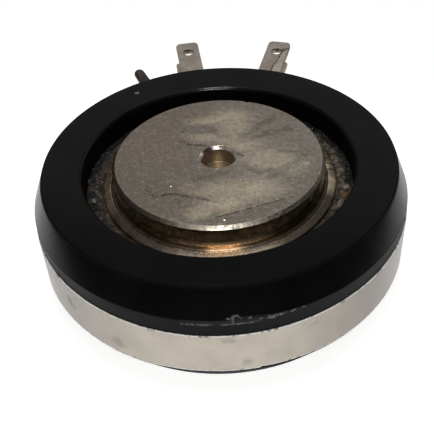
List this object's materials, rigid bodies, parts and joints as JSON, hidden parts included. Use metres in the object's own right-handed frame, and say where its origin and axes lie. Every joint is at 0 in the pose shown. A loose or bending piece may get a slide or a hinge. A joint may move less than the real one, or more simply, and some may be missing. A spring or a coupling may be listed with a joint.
{
  "type": "disc thyristor",
  "caption": "Pressed-contact disc thyristor: silicon stack between nickel-plated pole pieces in a bevelled black ring, with flat contact faces and radial gate and cathode tabs.",
  "frame": {"origin": "centre of the anode contact face, on the disc's axis", "axes": "+Z along the axis to the cathode contact face; +Y between the two terminal tabs; +X to the right when looking along +Y"},
  "size_m": [0.0412, 0.0518, 0.014],
  "materials": {
    "housing_plastic": "black moulded plastic, matt on the faces and glossy on the bevels",
    "label_foil": "thin self-adhesive silver foil, bare",
    "nickel_plate": "nickel-plated copper, stained and scratched",
    "flange_sheet": "tarnished plated sheet",
    "seal_resin": "rough sealing resin with dirt",
    "silicon": "metallised silicon",
    "molybdenum": "lapped molybdenum",
    "edge_rubber": "silicone rubber",
    "gate_insulator": "white fluoropolymer",
    "spring_steel": "plated spring wire",
    "gate_brass": "turned brass",
    "lead_copper": "bare copper wire",
    "tinned_tab": "tinned brass with solder residue",
    "stub_resin": "dark brown cast resin"
  },
  "bodies": {
    "root": {"housing_ring": "housing_plastic", "label_band": "label_foil", "anode_pole": "nickel_plate", "cathode_pole": "nickel_plate", "anode_flange": "flange_sheet", "cathode_flange": "flange_sheet", "anode_seal": "seal_resin", "cathode_seal": "seal_resin", "silicon_wafer": "silicon", "anode_disc": "molybdenum", "cathode_disc": "molybdenum", "edge_ring": "edge_rubber", "gate_cup": "gate_insulator", "gate_spring": "spring_steel", "gate_pin": "gate_brass", "gate_lead": "lead_copper", "gate_sleeve": "gate_insulator", "cathode_lead": "lead_copper", "gate_tab": "tinned_tab", "cathode_tab": "tinned_tab", "filler_stub": "stub_resin"}
  },
  "joints": []
}
